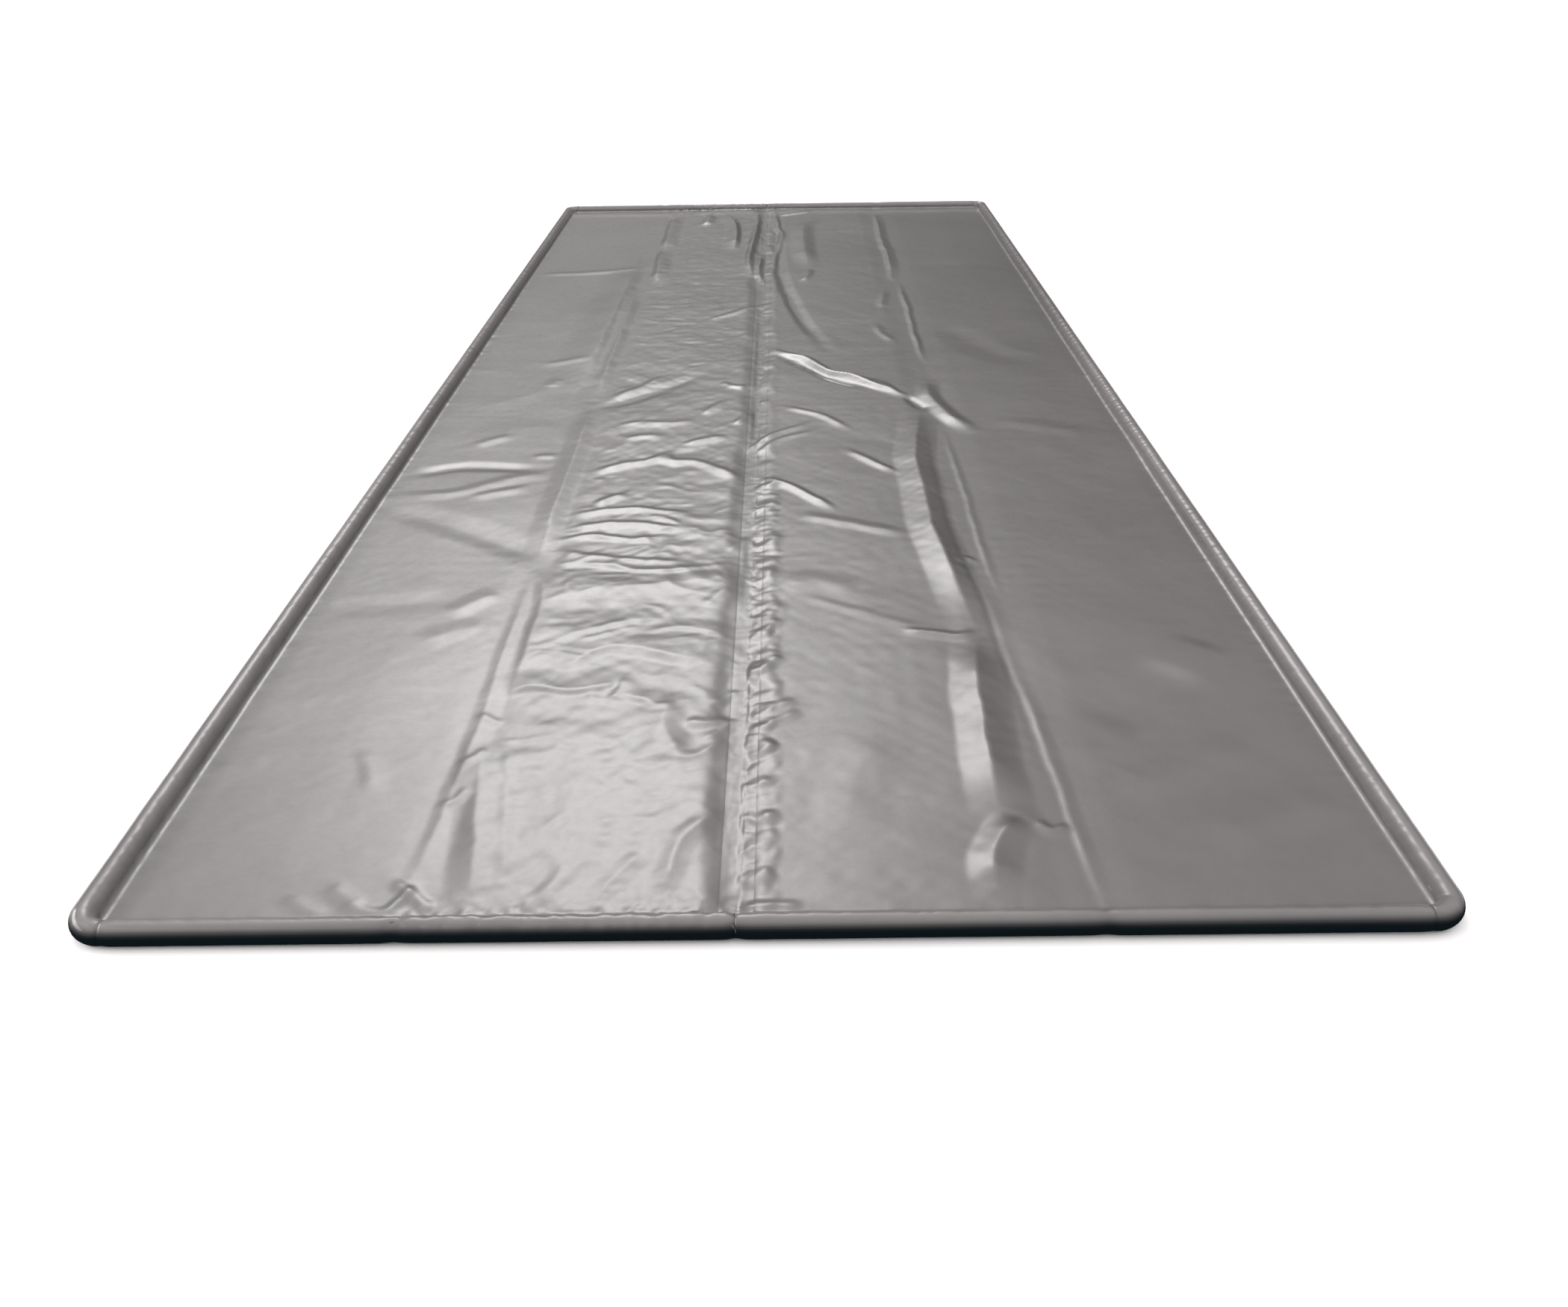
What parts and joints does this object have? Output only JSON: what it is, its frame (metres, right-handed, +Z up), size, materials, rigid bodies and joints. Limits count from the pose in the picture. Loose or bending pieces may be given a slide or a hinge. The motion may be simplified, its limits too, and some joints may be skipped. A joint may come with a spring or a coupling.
{
  "type": "seedling heat mat",
  "caption": "Large padded heat mat in a silver-grey vinyl cover with a round foam bead along every edge, lengthwise fold lines and a round power socket in one end.",
  "frame": {"origin": "under the middle of the mat, on the plane that the mat rests on", "axes": "+X across the mat, +Y along it towards the end with the power socket, +Z up"},
  "size_m": [1.22, 3.05, 0.024],
  "materials": {
    "vinyl_top": "gloss",
    "vinyl_bead": "gloss",
    "vinyl_tape": "gloss",
    "vinyl_underside": "satin",
    "pad_foam": "matte",
    "rod_foam": "matte",
    "heating_film": "satin",
    "spreader_foil": "satin",
    "copper_braid": "satin",
    "inlet_plastic": "satin",
    "seal_rubber": "matte",
    "pin_brass": "polished",
    "lead_insulation": "satin",
    "cutout_case": "satin"
  },
  "bodies": {
    "left_outer": {"bottom_cover_left_outer": "vinyl_underside", "insulation_pad_left_outer": "pad_foam", "heating_film_left_outer": "heating_film", "heat_spreader_left_outer": "spreader_foil", "top_cover_left_outer": "vinyl_top", "jumper_braids_left_outer": "copper_braid", "bead_rod_near_left_outer": "rod_foam", "bead_rod_far_left_outer": "rod_foam", "bead_sleeve_near_left_outer": "vinyl_bead", "bead_sleeve_far_left_outer": "vinyl_bead", "side_rod_left": "rod_foam", "side_sleeve_left": "vinyl_bead", "corner_rods_left": "rod_foam", "corner_wraps_left": "vinyl_bead"},
    "left_inner": {"bottom_cover_left_inner": "vinyl_underside", "insulation_pad_left_inner": "pad_foam", "heating_film_left_inner": "heating_film", "heat_spreader_left_inner": "spreader_foil", "top_cover_left_inner": "vinyl_top", "jumper_braids_left_inner": "copper_braid", "bead_rod_near_left_inner": "rod_foam", "bead_rod_far_left_inner": "rod_foam", "bead_sleeve_near_left_inner": "vinyl_bead", "bead_sleeve_far_left_inner": "vinyl_bead", "seam_tapes_left": "vinyl_tape", "inlet_body": "inlet_plastic", "inlet_seal": "seal_rubber", "inlet_bezel": "inlet_plastic", "inlet_pins": "pin_brass", "supply_leads": "lead_insulation", "thermal_cutout": "cutout_case"},
    "right_inner": {"bottom_cover_right_inner": "vinyl_underside", "insulation_pad_right_inner": "pad_foam", "heating_film_right_inner": "heating_film", "heat_spreader_right_inner": "spreader_foil", "top_cover_right_inner": "vinyl_top", "jumper_braids_right_inner": "copper_braid", "bead_rod_near_right_inner": "rod_foam", "bead_rod_far_right_inner": "rod_foam", "bead_sleeve_near_right_inner": "vinyl_bead", "bead_sleeve_far_right_inner": "vinyl_bead", "seam_tapes_right": "vinyl_tape"},
    "right_outer": {"bottom_cover_right_outer": "vinyl_underside", "insulation_pad_right_outer": "pad_foam", "heating_film_right_outer": "heating_film", "heat_spreader_right_outer": "spreader_foil", "top_cover_right_outer": "vinyl_top", "jumper_braids_right_outer": "copper_braid", "bead_rod_near_right_outer": "rod_foam", "bead_rod_far_right_outer": "rod_foam", "bead_sleeve_near_right_outer": "vinyl_bead", "bead_sleeve_far_right_outer": "vinyl_bead", "side_rod_right": "rod_foam", "side_sleeve_right": "vinyl_bead", "corner_rods_right": "rod_foam", "corner_wraps_right": "vinyl_bead"}
  },
  "joints": [
    {"name": "fold_left", "type": "hinge", "parent": "left_inner", "child": "left_outer", "pos_m": [-0.32, 0, 0.0245], "axis": [0, 1, 0], "range_deg": [0, 178]},
    {"name": "fold_centre", "type": "hinge", "parent": "left_inner", "child": "right_inner", "pos_m": [-0.026, 0, -0.0005], "axis": [0, 1, 0], "range_deg": [0, 178]},
    {"name": "fold_right", "type": "hinge", "parent": "right_inner", "child": "right_outer", "pos_m": [0.293, 0, 0.0245], "axis": [0, -1, 0], "range_deg": [0, 178]}
  ]
}
